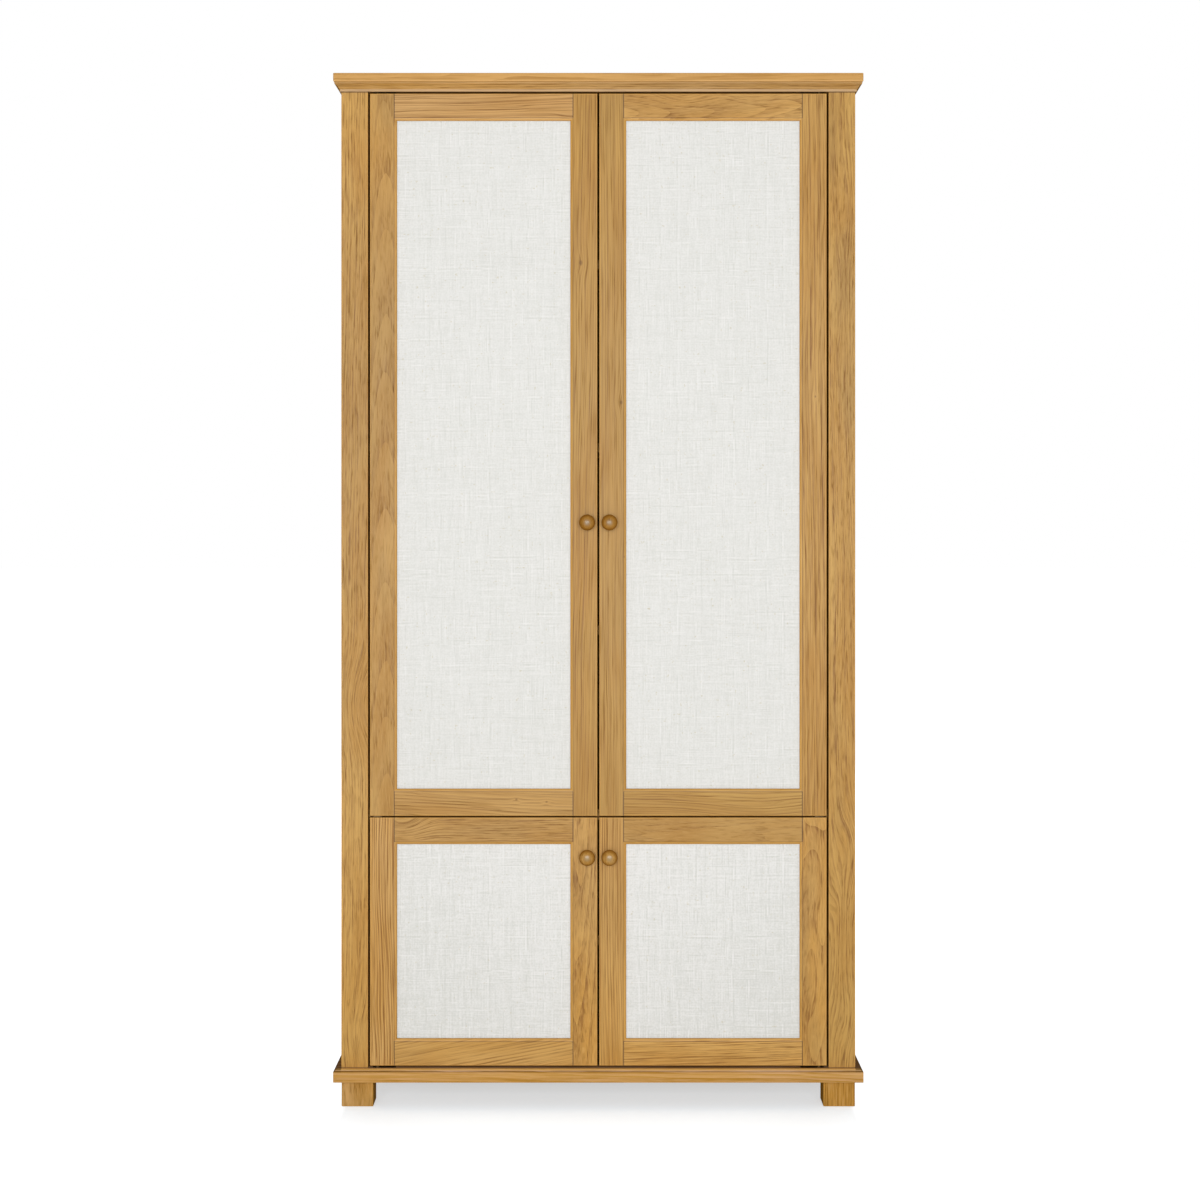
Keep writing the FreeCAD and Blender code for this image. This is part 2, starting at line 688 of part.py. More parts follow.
def stile_body(name, edge, sign, low, high, section):
    body = doc.addObject("PartDesign::Body", name)
    corners = [(f"{edge} {sign} {across}", f"Places.face + {depth}") for across, depth in section]
    arcs = {0: (None, "Places.face + Sizes.edge_ease")} if section is EASED_SECTION else {}
    pad(body, outline(body, "XY_Plane", low, corners, arcs), f"{high} - {low}")
    return body


def rail_body(name, edge, sign):
    body = doc.addObject("PartDesign::Body", name)
    corners = [(f"Places.face + {depth}", f"{edge} {sign} {across}") for across, depth in EASED_SECTION]
    reach = "(Sizes.member_width - Sizes.groove_depth)"
    arcs = {0: (None, f"{edge} {sign} Sizes.edge_ease")}
    sketch = outline(body, "YZ_Plane", f"Places.door_outer + {reach}", corners, arcs)
    pad(body, sketch, f"Places.door_inner - Places.door_outer - 2 * {reach}")
    return body


def bush(name, edge, way):
    outward = "-" if way == "up" else "+"
    rim = f"{edge} {outward} Sizes.bush_flange"
    spot = ("Places.pivot_x", "Places.pivot_y", rim)
    sleeve = rod(f"{name}_sleeve", "Sizes.bush_radius", "Sizes.bush_length + Sizes.bush_flange", spot, way)
    flange = rod(f"{name}_flange", "Sizes.bush_flange_radius", "Sizes.bush_flange", spot, way)
    bore = rod(f"{name}_bore", "Sizes.pin_radius + Sizes.pin_clearance",
               "Sizes.bush_length + Sizes.bush_flange", spot, way)
    return cut(name, fuse(f"{name}_blank", [sleeve, flange]), [bore])


def knob_body(name, height):
    def share(key, out=None, along=None):
        return (f"{out or KNOB_SHARES[key][0]} * Sizes.knob_radius",
                f"{along or KNOB_SHARES[key][1]} * Sizes.knob_projection")

    foot = KNOB_SHARES["foot"][0]
    body = doc.addObject("PartDesign::Body", name)
    corners = [("0", "0"), (f"{foot} * Sizes.knob_radius", "0"), share("foot"), share("neck"),
               share("widest"), share("brow"), ("0", "Sizes.knob_projection")]
    arcs = {2: (None, share("neck")[1]), 3: (None, share("widest")[1]),
            4: (None, share("widest")[1]), 5: ("0", None)}
    sketch = outline(body, "XZ_Plane", "0", corners, arcs)
    turning = body.newObject("PartDesign::Revolution", "Turning")
    turning.Profile = sketch
    turning.ReferenceAxis = (origin_item(body, "Z_Axis"), [""])
    place(body, ("Places.knob_x", "Places.face", height), "front")
    doc.recompute()
    return body


def door(level, low, high, knob_height, strike_height):
    members = {}
    name = f"{level}_left"
    outer = "Places.door_outer"
    inner = "Places.door_inner"
    sharp = [stile_body(f"{name}_hinge_tool", outer, "+", low, high, SHARP_SECTION),
             stile_body(f"{name}_meeting_tool", inner, "-", low, high, SHARP_SECTION)]

    hinge = stile_body(f"{name}_hinge_blank", outer, "+", low, high, EASED_SECTION)
    meeting = stile_body(f"{name}_meeting_blank", inner, "-", low, high, EASED_SECTION)
    for blank in (hinge, meeting):
        ease(blank, "Sizes.end_ease", lambda p: near(p.y, value("Places.face"))
             and (near(p.z, value(low)) or near(p.z, value(high))))

    line_size = ("Sizes.joint_line", "Sizes.joint_line", f"{high} - {low}")
    hinge_line = box(f"{name}_hinge_line", (f"{outer} + {FLAT} - Sizes.joint_line", "Places.face", low), line_size)
    meeting_line = box(f"{name}_meeting_line", (f"{inner} - {FLAT}", "Places.face", low), line_size)
    sockets = [rod(f"{name}_socket_{way}", "Sizes.bush_radius + Sizes.hole_clearance", "Sizes.bush_length",
                   ("Places.pivot_x", "Places.pivot_y", edge), way)
               for way, edge in (("up", low), ("down", high))]
    knob_spot = ("Places.knob_x", "Places.face - Sizes.knob_screw_reach", knob_height)
    screw_run = "Sizes.door_thickness + Sizes.knob_screw_reach"
    screw_hole = rod(f"{name}_knob_hole", "Sizes.knob_screw_radius + Sizes.hole_clearance", screw_run,
                     knob_spot, "back")
    members["hinge_stile"] = cut(f"{name}_hinge_stile", hinge, [hinge_line] + sockets)
    members["meeting_stile"] = cut(f"{name}_meeting_stile", meeting, [meeting_line, screw_hole])
    members["top_rail"] = cut(f"{name}_top_rail", rail_body(f"{name}_top_rail_blank", high, "-"), sharp)
    members["bottom_rail"] = cut(f"{name}_bottom_rail", rail_body(f"{name}_bottom_rail_blank", low, "+"), sharp)

    panel_width = f"{inner} - {outer} - 2 * Places.panel_inset"
    panel_height = f"{high} - {low} - 2 * Places.panel_inset"
    left = f"{outer} + Places.panel_inset"
    foot = f"{low} + Places.panel_inset"
    members["panel_board"] = box(f"{name}_panel_board", (left, "Places.linen_back", foot),
                                 (panel_width, "Sizes.panel_thickness", panel_height))
    members["linen"] = box(f"{name}_linen", (left, "Places.linen_front", foot),
                           (panel_width, "Sizes.linen_thickness", panel_height))

    knob_blank = knob_body(f"{name}_knob_blank", knob_height)
    members["knob"] = cut(f"{name}_knob", knob_blank, [screw_hole])
    shank = rod(f"{name}_knob_shank", "Sizes.knob_screw_radius", screw_run, knob_spot, "back")
    cap = rod(f"{name}_knob_cap", "Sizes.knob_screw_head", "Sizes.pan_head_height",
              ("Places.knob_x", "Places.door_back", knob_height), "back")
    strike = rod(f"{name}_strike", "Sizes.strike_radius", "Sizes.strike_thickness",
                 ("Places.strike_x", "Places.door_back", strike_height), "back")
    members["fittings"] = group(f"{name}_fittings", [
        bush(f"{name}_bush_low", low, "up"),
        bush(f"{name}_bush_high", high, "down"),
        fuse(f"{name}_knob_screw", [shank, cap]),
        strike,
    ])
    for part, item in members.items():
        keep(f"{level}_left_{part}", item)
        keep(f"{level}_right_{part}", mirror(f"{level}_right_{part}", item))


door("upper", "Places.upper_low", "Places.upper_high", "Places.upper_knob",
     "Places.mid_high + Sizes.catch_height / 2")
door("lower", "Places.lower_low", "Places.lower_high", "Places.lower_knob",
     "Places.mid_low - Sizes.catch_height / 2")

doc.recompute()

faults = [item.Label for item in doc.Objects if {"Invalid", "Error"} & set(item.State)]
faults += [item.Label for item in nodes if item.Shape.isNull() or not item.Shape.isValid()]
if faults:
    raise RuntimeError(f"not built soundly: {faults}")

os.makedirs("parts", exist_ok=True)
for item in nodes:
    item.Shape.exportStep(f"parts/{item.Label}.step")
print(len(nodes), "sub-parts written")
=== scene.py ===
import math
import random

import bpy
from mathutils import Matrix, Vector


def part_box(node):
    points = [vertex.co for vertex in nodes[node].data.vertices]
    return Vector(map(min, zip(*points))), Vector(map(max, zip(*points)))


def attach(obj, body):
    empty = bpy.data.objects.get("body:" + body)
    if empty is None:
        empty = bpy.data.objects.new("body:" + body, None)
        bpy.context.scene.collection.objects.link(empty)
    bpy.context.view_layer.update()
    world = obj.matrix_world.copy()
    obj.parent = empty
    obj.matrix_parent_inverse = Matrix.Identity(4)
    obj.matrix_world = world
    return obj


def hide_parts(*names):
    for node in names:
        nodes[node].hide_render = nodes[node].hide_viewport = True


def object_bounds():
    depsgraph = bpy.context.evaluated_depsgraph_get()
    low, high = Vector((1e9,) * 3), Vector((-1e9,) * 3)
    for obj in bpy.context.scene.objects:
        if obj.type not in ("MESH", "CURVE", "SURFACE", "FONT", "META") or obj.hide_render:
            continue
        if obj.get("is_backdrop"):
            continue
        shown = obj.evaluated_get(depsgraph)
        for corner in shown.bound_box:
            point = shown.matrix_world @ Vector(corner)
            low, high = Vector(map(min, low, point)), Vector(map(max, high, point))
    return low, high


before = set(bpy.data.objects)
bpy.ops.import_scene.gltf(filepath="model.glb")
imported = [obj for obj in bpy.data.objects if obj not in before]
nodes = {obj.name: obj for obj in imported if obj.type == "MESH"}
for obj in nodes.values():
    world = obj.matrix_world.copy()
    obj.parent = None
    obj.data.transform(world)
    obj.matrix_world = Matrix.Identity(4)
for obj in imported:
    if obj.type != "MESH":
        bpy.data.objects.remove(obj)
cad_low, cad_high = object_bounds()

MILLIMETRE = 0.001
DOORS = ("upper_left", "upper_right", "lower_left", "lower_right")

# The camera stands level in front of the press; the picture is shifted, not tilted.
PHOTO_SIDE = 1200
VANISHING_POINT = (598.3, 510.0)
SENSOR = 36.0
LENS = 70.28
CAMERA_DISTANCE = 4.43
CAMERA_HEIGHT = 1.1283
FAR_CLIP = 200

# Room: the floor is dimmer and bluer close to the press, and seen white far from it. Its camera-only glow
# is low close to the press, so the real shadow shows, and full beside it, painting light over the shadow
# there; the bluer tone close by cancels the warm light bounced from the oak (painted light).
WORLD_LIGHT = 0.31
NEAR_FLOOR = (0.70, 0.79, 0.87, 1)
FAR_FLOOR = (0.82, 0.82, 0.82, 1)
NEAR_GLOW = 0.535
GLOW_RISE = 0.15
FAR_GLOW = 0.85
FLOOR_HALF = 40.0

# Lamps: name, place, aim, size and power
LAMPS = (
    ("front_softbox", (-0.1, -5.6, 1.35), (0, -0.2, 1.0), (3.6, 2.0), 190),
    ("left_rear_softbox", (-2.6, 4.6, 1.9), (0, 0.2, 1.0), (2.4, 2.4), 55),
    ("right_rear_softbox", (2.6, 4.6, 1.9), (0, 0.2, 1.0), (2.4, 2.4), 55),
)


def tint(red, green, blue):
    """A colour written as it shows on a screen, 0 to 255, made linear."""
    shown = [channel / 255 for channel in (red, green, blue)]
    return [c / 12.92 if c <= 0.04045 else ((c + 0.055) / 1.055) ** 2.4 for c in shown] + [1.0]


class Socket:
    """One output of a node, with arithmetic that adds Math nodes."""

    def __init__(self, tree, output):
        self.tree = tree
        self.output = output

    def math(self, operation, *others, swapped=False):
        node = self.tree.nodes.new("ShaderNodeMath")
        node.operation = operation
        values = [self, *others]
        if swapped:
            values.reverse()
        for slot, entry in zip(node.inputs, values):
            join(self.tree, slot, entry)
        return Socket(self.tree, node.outputs[0])

    def __add__(self, other):
        return self.math("ADD", other)

    def __sub__(self, other):
        return self.math("SUBTRACT", other)

    def __rsub__(self, other):
        return self.math("SUBTRACT", other, swapped=True)

    def __mul__(self, other):
        return self.math("MULTIPLY", other)

    def __truediv__(self, other):
        return self.math("DIVIDE", other)

    def __pow__(self, other):
        return self.math("POWER", other)

    __radd__ = __add__
    __rmul__ = __mul__

    def __abs__(self):
        return self.math("ABSOLUTE")

    def root(self):
        return self.math("SQRT")

    def part(self):
        return self.math("FRACT")

    def fade(self):
        """1 at zero, and smoothly less the larger the value is."""
        return (-1 * self).math("EXPONENT")

    def between(self, low, high):
        """0 below low, 1 above high and a smooth slope between them."""
        node = self.tree.nodes.new("ShaderNodeMapRange")
        node.interpolation_type = "SMOOTHSTEP"
        for name, entry in (("Value", self), ("From Min", low), ("From Max", high)):
            join(self.tree, node.inputs[name], entry)
        return Socket(self.tree, node.outputs["Result"])

    def between_mm(self, low, high):
        return self.between(low * MILLIMETRE, high * MILLIMETRE)


def join(tree, slot, entry):
    if isinstance(entry, Socket):
        tree.links.new(entry.output, slot)
    else:
        slot.default_value = entry


class Finish:
    """A material with one Principled shader."""

    def __init__(self, name, **constants):
        self.material = bpy.data.materials.new(name)
        self.material.use_nodes = True
        self.tree = self.material.node_tree
        self.shader = self.tree.nodes["Principled BSDF"]
        for socket, entry in constants.items():
            self.shader.inputs[socket.replace("_", " ")].default_value = entry

    def node(self, kind, output, settings=None, **inputs):
        node = self.tree.nodes.new(kind)
        for name, entry in (settings or {}).items():
            setattr(node, name, entry)
        for name, entry in inputs.items():
            join(self.tree, node.inputs[name.replace("_", " ")], entry)
        return Socket(self.tree, node.outputs[output])

    def axes(self, vector):
        split = self.tree.nodes.new("ShaderNodeSeparateXYZ")
        join(self.tree, split.inputs[0], vector)
        return {axis: Socket(self.tree, split.outputs[axis]) for axis in "XYZ"}

    def place(self):
        """The three coordinates of a point on the object, in metres."""
        return self.axes(self.node("ShaderNodeTexCoord", "Object"))

    def facing(self, axis):
        """How far a face looks along an axis, from -1 to 1."""
        return self.axes(self.node("ShaderNodeNewGeometry", "Normal"))[axis]

    def noise(self, across, deep, along, scales, detail=2.0, roughness=0.5):
        point = self.node("ShaderNodeCombineXYZ", "Vector",
                          X=across * scales[0], Y=deep * scales[1], Z=along * scales[2])
        return self.node("ShaderNodeTexNoise", "Fac",
                         Vector=point, Scale=1.0, Detail=detail, Roughness=roughness)

    def line_noise(self, along):
        """Noise that changes with one value only."""
        return self.node("ShaderNodeTexNoise", "Fac", {"noise_dimensions": "1D"},
                         W=along, Scale=1.0, Detail=1.0)

    def mix(self, amount, first, second):
        node = self.tree.nodes.new("ShaderNodeMix")
        node.data_type = "RGBA"
        join(self.tree, node.inputs["Factor"], amount)
        join(self.tree, node.inputs[6], first)
        join(self.tree, node.inputs[7], second)
        return Socket(self.tree, node.outputs[2])

    def feed(self, **links):
        for name, entry in links.items():
            join(self.tree, self.shader.inputs[name.replace("_", " ")], entry)

    def relief(self, height, depth, strength=1.0):
        bump = self.node("ShaderNodeBump", "Normal", Height=height, Distance=depth, Strength=strength)
        self.feed(Normal=bump)


def wear(node, material):
    nodes[node].data.materials.clear()
    nodes[node].data.materials.append(material)


# Oak: every board is cut from a log of its own, so its rings run on round every face.
OAK_LIGHT = tint(203, 157, 82)
OAK_WARM = tint(186, 135, 53)
OAK_GREY = tint(154, 120, 63)
OAK_DARK = tint(136, 89, 18)
OAK_PORE = tint(98, 59, 5)
# lighter edges: partly wear and partly painted highlight; also the painted highlight on the bead
OAK_EDGE = tint(212, 156, 68)
# the next two colours are painted highlights for the level strips round the mouldings
OAK_PAINTED_LIGHT = tint(224, 176, 106)
OAK_PAINTED_SHEEN = tint(198, 172, 138)
# painted light on the base's front ledge
OAK_PAINTED_LEDGE_LIGHT = tint(236, 184, 96)
# dark brown of the joints, also used as painted shade in the quirks, along the arrises and edges at the door
# gaps, on the base's side ledges and in the dark lines round the mouldings
OAK_JOINT_AND_SHADE = tint(54, 32, 9)
OAK_ROUGHNESS = 0.40
OAK_GLOSS = 0.35

# How a board lies in its log: the heart's distance to one side and behind the face, the slope of the
# rings along the board, the ring spacing, how far the rings wander, how many pore lines end in a metre,
# and how much of the grain lies loose between the rings
CUTS = {
    "crown": dict(aside=0.004, behind=0.040, slope=0.050, ring=0.0062, wander=0.013, ends=26, loose=1.0),
    "curly": dict(aside=0.012, behind=0.034, slope=0.030, ring=0.0052, wander=0.026, ends=32, loose=1.0),
    "rift": dict(aside=0.110, behind=0.070, slope=0.012, ring=0.0046, wander=0.012, ends=10, loose=1.0),
    "straight": dict(aside=0.190, behind=0.030, slope=0.004, ring=0.0042, wander=0.006, ends=14, loose=1.0),
    "plain": dict(aside=0.110, behind=0.070, slope=0.012, ring=0.0046, wander=0.016, ends=22, loose=1.0),
    "fine": dict(aside=0.190, behind=0.030, slope=0.004, ring=0.0053, wander=0.010, ends=6, loose=0.8),
    "lined": dict(aside=0.110, behind=0.070, slope=0.010, ring=0.0046, wander=0.026, ends=5, loose=0.4),
}

# How often the grain's noises change in a metre: across, through and along a board
DRIFT_SCALES = (14, 14, 3.0)
WAVER_SCALES = (60, 60, 9)
FIBRE_SCALES = (230, 230, 6)
CLOUD_SCALES = (18, 18, 4.5)
DASH_SCALE = 290
FLECK_SCALE = 430
FLECK_ENDS = 1.7

# Where the marks on the door members lie, and the fixed boards beside the door gaps
BEAD_WIDTH = 0.0053
BEAD_TONGUE = 0.0037
DOOR_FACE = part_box("left_face_stile")[0].y
OPENING_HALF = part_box("right_face_stile")[0].x + MILLIMETRE
BODY_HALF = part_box("right_side_panel")[1].x
GAP_BOARDS = ("left_face_stile", "right_face_stile", "face_top_rail", "cornice_front")

# How strongly the marks show, 0 to 1
# edges lighter partly from wear and partly as a painted highlight
EDGE_WEAR_AND_HIGHLIGHT = 0.5
# painted highlight on the bead
BEAD_PAINTED_HIGHLIGHT = 0.3
# painted shadow in the quirk beside the bead
QUIRK_SHADE = 0.3
# painted shade along the front arrises beside the door gaps
ARRIS_SHADE = 0.8
SHOULDER_SHADE = 0.9
# painted shade on the edges inside the door gaps
GAP_SHADE = 0.85
# painted light on the base's front ledge and painted shade on its side ledges
LEDGE_PAINTED_LIGHT_AND_SHADE = 0.6
# painted shade on the sides of the feet
FOOT_SIDE_SHADE = 0.5
STAVE_SEAM = 0.45
KNOT_SHADE = 0.6
PALE_FLECK = 0.4
PORE_LIMIT = 0.55


def swell(run, width, long, wide):
    """A smooth hump, 1 at its middle, long along the board and wide across it."""
    a, b = run / long, width / wide
    return (a * a + b * b).fade()


def oak(name, lie, low, high, cut, strength, lean=0.0, apex=0, bead=0, staves=0, tone=0.0, grey=0.3,
        shade=1.0, green=1.0, blue=1.0, gloss=OAK_GLOSS, pales=(), whorls=(), knots=(), painted_light_bands=(), lines=()):
    """The finish of one board, whose box is from low to high.

    lie names the axes along, across and through the board, and lean turns the grain on the face. cut says
    how it lies in its log, strength how dark its grain is, and apex which way its arches point. bead says
    on which side of a door member the bead is, and staves how wide the boards are that a panel is glued up
    from. tone makes a board warmer, grey dulls it in patches, shade, green and blue scale its colour, and
    gloss is its shine.

    Places are from the board's middle, in metres. A pale stretch is given as its place along the board,
    length and amount, a whorl as its place along and across, length, width and rise, and a knot as its
    place along and across and its size. A painted-light band is a strip of painted highlight: two heights,
    an amount and a colour. A line is a dark seam, partly a joint and partly painted shadow: its height, half
    its width and an amount.
    """
    chance = random.Random(name)
    log = CUTS[cut]
    scale = (shade, shade * green, shade * blue)
    light, warm, dull, dark = (
        [share * channel for share, channel in zip(scale, colour)] + [1]
        for colour in (OAK_LIGHT, OAK_WARM, OAK_GREY, OAK_DARK))
    finish = Finish(f"oak_{name}", Specular_IOR_Level=gloss)
    spot = finish.place()
    middle = (low + high) / 2
    half = (high - low) / 2
    run, width, deep = (spot[axis] - middle["XYZ".index(axis)] for axis in lie)
    length, breadth = (half["XYZ".index(axis)] for axis in lie[:2])
    along = run * math.cos(lean) + width * math.sin(lean)
    across = width * math.cos(lean) - run * math.sin(lean)
    if staves:
        # each stave comes from another place in the log
        stave = (width / staves).math("FLOOR")
        joint = (width / staves - stave - 0.5) * staves
        luck = finish.node("ShaderNodeTexWhiteNoise", "Value", {"noise_dimensions": "1D"}, W=stave + 0.5)
        across = joint + (luck - 0.5) * (0.5 * staves)
        along = along + 7.0 * luck + 2.3 * stave
        tone = tone + 0.5 * (luck - 0.5)
    side = chance.choice((-1, 1))
    shift = [chance.uniform(0, 20) for _ in range(3)]

    def noise(sideways, order, scales, **detail):
        """Noise on the board, moved by the shifts in the order given."""
        point = (value + shift[turn] for value, turn in zip((sideways, deep, along), order))
        return finish.noise(*point, scales, **detail)

    # the rings, wandering, uneven from year to year, and swollen round each whorl and knot
    wander = log["wander"]
    drift = noise(across, (0, 1, 2), DRIFT_SCALES, detail=1.5)
    waver = noise(across, (1, 2, 0), WAVER_SCALES, detail=2.0)
    u = across - side * log["aside"] + (drift - 0.5) * wander
    v = deep - log["behind"] + (waver - 0.5) * (0.4 * wander)
    slope = log["slope"] * chance.uniform(0.7, 1.3) * (apex or chance.choice((-1, 1)))
    radius = (u * u + v * v).root() + along * slope + (waver - 0.5) * (0.3 * wander)
    flow = across + (drift - 0.5) * wander + (waver - 0.5) * (0.5 * wander)
    for far, off, long, wide, rise in whorls:
        hump = rise * swell(run - far, width - off, long, wide)
        radius = radius + hump
        flow = flow - side * hump
    for far, off, size in knots:
        around = swell(run - far, width - off, 5.0 * size, 3.0 * size)
        radius = radius + 1.2 * size * around
        flow = flow - 0.8 * around * (width - off)
    spacing = log["ring"] * chance.uniform(0.85, 1.15)
    year = finish.line_noise(radius / (1.7 * spacing) + shift[1])
    ring = (radius / spacing + 1.4 * year + shift[0]).part()
    early = (1 - ring) ** 2.0 * (0.35 + 1.3 * year)

    # pores in dashes that follow the rings, fibre and clouds of tone
    ends = log["ends"]
    dash = noise(flow, (2, 0, 1), (DASH_SCALE, DASH_SCALE, ends), detail=2.5)
    fleck = noise(flow, (2, 1, 0), (FLECK_SCALE, FLECK_SCALE, FLECK_ENDS * ends), detail=2.0)
    pores = fleck.between(0.53, 0.68) * (0.4 + 0.6 * early)
    fibre = noise(flow, (0, 2, 1), FIBRE_SCALES, detail=3.0, roughness=0.6)
    cloud = noise(across, (1, 0, 2), CLOUD_SCALES, detail=2.0)

    colour = finish.mix((cloud + tone).between(0.28, 0.72), light, warm)
    colour = finish.mix(grey * drift.between(0.52, 0.75), colour, dull)
    loose = log["loose"] * (0.40 * dash.between(0.50, 0.80) + 0.35 * fibre.between(0.45, 0.75))
    streak = strength * (early * (0.45 + 0.7 * dash.between(0.40, 0.68)) + loose)
    colour = finish.mix(streak.math("MINIMUM", 1.0), colour, dark)
    colour = finish.mix(min(PORE_LIMIT, 0.95 * strength) * pores, colour, OAK_PORE)
    colour = finish.mix(PALE_FLECK * (1 - fleck.between(0.30, 0.47)), colour, light)
    if staves:
        seam = 0.5 * staves - abs(joint)
        colour = finish.mix(STAVE_SEAM * (1 - seam.between_mm(0.3, 1.0)), colour, OAK_DARK)
    for far, off, size in knots:
        knot = swell(run - far, width - off, 1.5 * size, size)
        colour = finish.mix(KNOT_SHADE * knot.between(0.30, 0.95), colour, OAK_PORE)
    for far, long, amount in pales:
        reach = (run - far) / long
        colour = finish.node("ShaderNodeVectorMath", "Vector", {"operation": "SCALE"},
                             Vector=colour, Scale=1 + amount * (reach * reach).fade())

    colour = edge_marks(finish, colour, name, spot, run, width, length, breadth, bead)
    colour = height_marks(finish, colour, spot, painted_light_bands, lines)
    colour = face_marks(finish, colour, name, spot, bead)
    finish.feed(Base_Color=colour)
    finish.feed(Roughness=OAK_ROUGHNESS + 0.12 * fibre + 0.2 * pores)
    finish.relief(0.4 * fibre - pores, 0.12 * MILLIMETRE, 0.6)
    return finish.material


def edge_marks(finish, colour, name, spot, run, width, length, breadth, bead):
    """Edges lighter from wear and painted highlight, painted highlight and shadow at the bead, painted shade
    at the gaps, and dark shoulder joints.
    """
    from_end = length - abs(run)
    rim = from_end.math("MINIMUM", breadth - abs(width))
    # edges lighter partly from wear and partly as a painted highlight
    colour = finish.mix(EDGE_WEAR_AND_HIGHLIGHT * (1 - rim.between_mm(0.8, 3.0)), colour, OAK_EDGE)
    if bead:
        strip = bead * width - (breadth - BEAD_WIDTH)
        # painted highlight on the bead
        colour = finish.mix(BEAD_PAINTED_HIGHLIGHT * strip.between_mm(0.2, 0.9), colour, OAK_EDGE)
        # painted shadow in the quirk beside the bead
        colour = finish.mix(QUIRK_SHADE * (1 - abs(strip).between_mm(0.3, 1.0)), colour, OAK_JOINT_AND_SHADE)
    if bead or name.endswith("face_stile"):
        if bead:
            arris = breadth + bead * width
        else:
            arris = abs(spot["X"]) - (OPENING_HALF - MILLIMETRE)
        if bead and name.endswith("stile"):
            arris = arris.math("MINIMUM", from_end)
        # painted shade along the front arrises beside the door gaps
        front = 1 - (spot["Y"] - DOOR_FACE).between_mm(0.2, 0.6)
        painted_arris_shade = front * (1 - arris.between_mm(0.25, 0.75))
        colour = finish.mix(ARRIS_SHADE * painted_arris_shade, colour, OAK_JOINT_AND_SHADE)
    if bead and name.endswith("rail"):
        shoulder = abs(run) - (length - BEAD_TONGUE)
        colour = finish.mix(SHOULDER_SHADE * shoulder.between_mm(-1.7, -0.6), colour, OAK_JOINT_AND_SHADE)
    return colour


def height_marks(finish, colour, spot, painted_light_bands, lines):
    """Painted highlights in level strips, and dark lines, partly joints and partly painted shadow, round a
    moulding.
    """
    soft = 0.5 * MILLIMETRE
    # level strips of painted highlight
    for under, over, amount, pale in painted_light_bands:
        strip = spot["Z"].between(under - soft, under + soft)
        strip = strip * (1 - spot["Z"].between(over - soft, over + soft))
        colour = finish.mix(amount * strip, colour, pale)
    # dark lines, partly joints and partly painted shadow
    for height, reach, amount in lines:
        seam = abs(spot["Z"] - height)
        colour = finish.mix(amount * (1 - seam.between(0.6 * reach, 1.3 * reach)), colour, OAK_JOINT_AND_SHADE)
    return colour


def face_marks(finish, colour, name, spot, bead):
    """Painted light and shade on the base's ledges, and painted shade on the feet's sides and at the door
    gaps.
    """
    if name == "base_board":
        # painted light on the base's front ledge (front) and painted shade on its side ledges (beside)
        front = (DOOR_FACE - spot["Y"]).between_mm(0.0, 2.0)
        beside = (abs(spot["X"]) - BODY_HALF).between_mm(-1.0, 0.0)
        for ledge, paint in ((front, OAK_PAINTED_LEDGE_LIGHT), (beside, OAK_JOINT_AND_SHADE)):
            colour = finish.mix(LEDGE_PAINTED_LIGHT_AND_SHADE * ledge * finish.facing("Z").between(0.3, 0.7), colour, paint)
    if name.endswith("foot"):
        # painted shade on the sides of the feet
        turned = abs(finish.facing("X")).between(0.5, 0.9)
        colour = finish.mix(FOOT_SIDE_SHADE * turned, colour, OAK_DARK)
    if bead or name in GAP_BOARDS:
        # painted shade on the edges inside the door gaps, 0.5 to 11 mm behind the door face
        turned = 1 - abs(finish.facing("Y")).between(0.3, 0.7)
        within = 1 - abs(spot["X"]).between(OPENING_HALF, OPENING_HALF + MILLIMETRE)
        behind = spot["Y"] - DOOR_FACE
        near = behind.between_mm(0.5, 2.0) * (1 - behind.between_mm(5.0, 11.0))
        colour = finish.mix(GAP_SHADE * (turned * within * near), colour, OAK_JOINT_AND_SHADE)
    return colour


# Axes along, across and through a board
UPRIGHT = "ZXY"
LEVEL = "XZY"
FLAT = "XYZ"
DEEP = "YZX"
SIDE = "ZYX"

# dark lines, partly joints and partly painted shadow: under the cornice's toe and at the base on the stiles,
# under the base on the feet, under the top board and at the toe on the cove, and in the step over the base's
# fascia
STILE_ENDS = ((1.9182, 0.0009, 0.65), (0.0740, 0.0009, 0.65))
FOOT_HEAD = ((0.0479, 0.0009, 0.65),)
COVE_HEAD = ((1.9354, 0.0008, 0.5), (1.9191, 0.0006, 0.5))
BASE_STEP = ((0.0687, 0.0007, 0.4),)
# level strips of painted highlight: the top board's lower edge, the cove's toe and lip, and the base's ovolo,
# the edges of its fascia and the fascia's upper part, which is painted lighter than its lower part
TOP_PAINTED_HIGHLIGHT = ((1.9368, 1.9388, 0.5, OAK_PAINTED_LIGHT),)
COVE_PAINTED_HIGHLIGHTS = ((1.9190, 1.9234, 0.5, OAK_PAINTED_SHEEN), (1.9328, 1.9356, 0.1, OAK_PAINTED_LIGHT))
BASE_PAINTED_LIGHT = (
    (0.0697, 0.0720, 0.25, OAK_PAINTED_SHEEN), (0.0664, 0.0680, 0.1, OAK_PAINTED_LIGHT),
    (0.0580, 0.0660, 0.3, OAK_PAINTED_LIGHT), (0.0487, 0.0502, 0.25, OAK_PAINTED_LIGHT))
SHELF = dict(lie=FLAT, strength=0.55, staves=0.11)
SIDE_PANEL = dict(lie=SIDE, cut="crown", strength=0.6, staves=0.118)
SIDE_COVE = dict(
    lie=DEEP, cut="straight", strength=0.7, shade=0.8, blue=1.42, gloss=0.0, painted_light_bands=COVE_PAINTED_HIGHLIGHTS, lines=COVE_HEAD)
BACK_FOOT = dict(lie=UPRIGHT, cut="rift", strength=0.6, lines=FOOT_HEAD)

